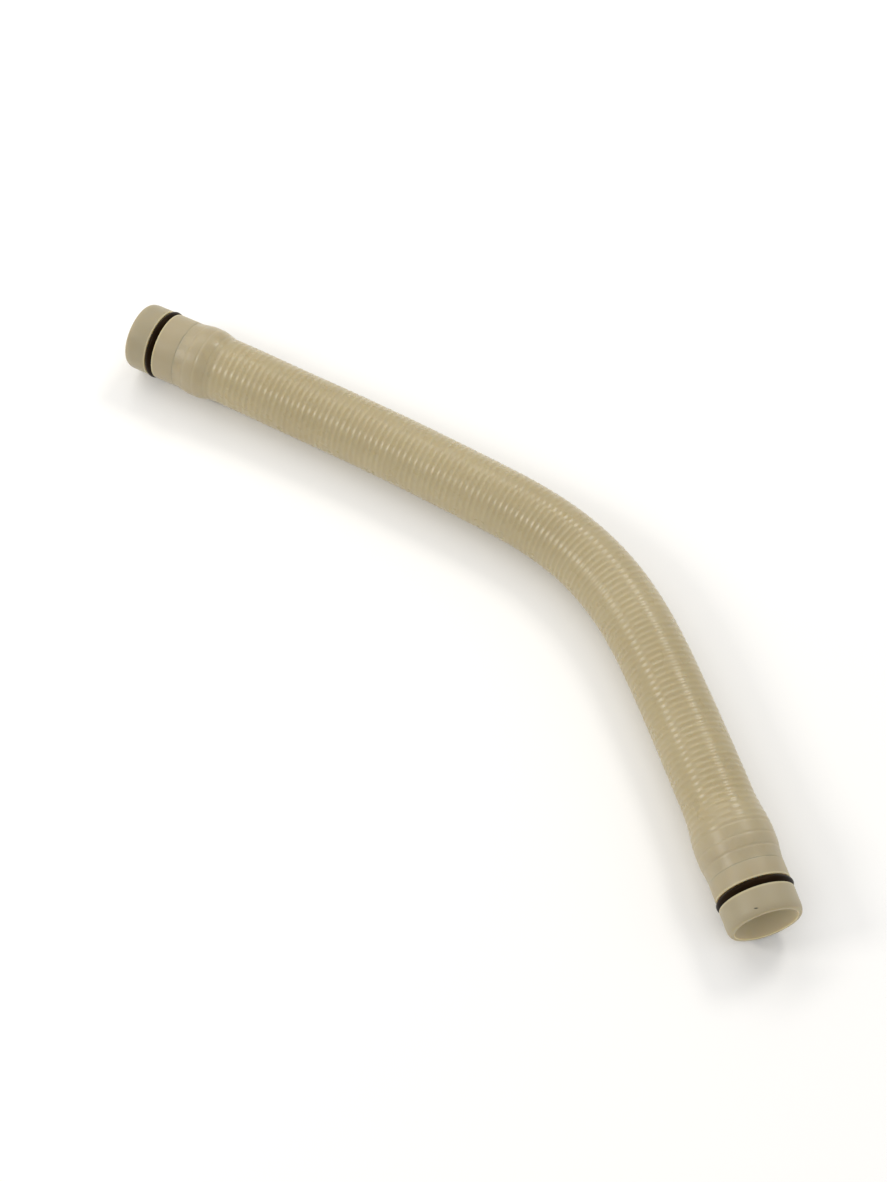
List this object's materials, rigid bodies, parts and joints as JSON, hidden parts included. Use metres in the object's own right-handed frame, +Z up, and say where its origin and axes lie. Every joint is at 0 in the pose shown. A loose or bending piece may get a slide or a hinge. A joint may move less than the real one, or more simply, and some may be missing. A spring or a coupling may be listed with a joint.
{
  "type": "dishwasher inlet hose",
  "caption": "Short ribbed water hose with smooth swollen cuffs, lying bent on its side, with a sealing spigot and a black O-ring at each end.",
  "frame": {"origin": "on the floor under the middle of the bounding box", "axes": "+X from the inlet end to the outlet end along the line between their mouths, +Y towards the side that the hose bows out to, +Z up from the floor that it lies on"},
  "size_m": [0.3312, 0.0782, 0.027],
  "materials": {
    "hose_plastic": "milky, slightly yellowed soft plastic with a satin sheen",
    "fitting_plastic": "milky, slightly grey rigid plastic, semi-gloss",
    "black_rubber": "black rubber with a soft sheen"
  },
  "bodies": {
    "root": {"hose": "hose_plastic", "inlet_fitting": "fitting_plastic", "outlet_fitting": "fitting_plastic", "inlet_o_ring": "black_rubber", "outlet_o_ring": "black_rubber"}
  },
  "joints": []
}
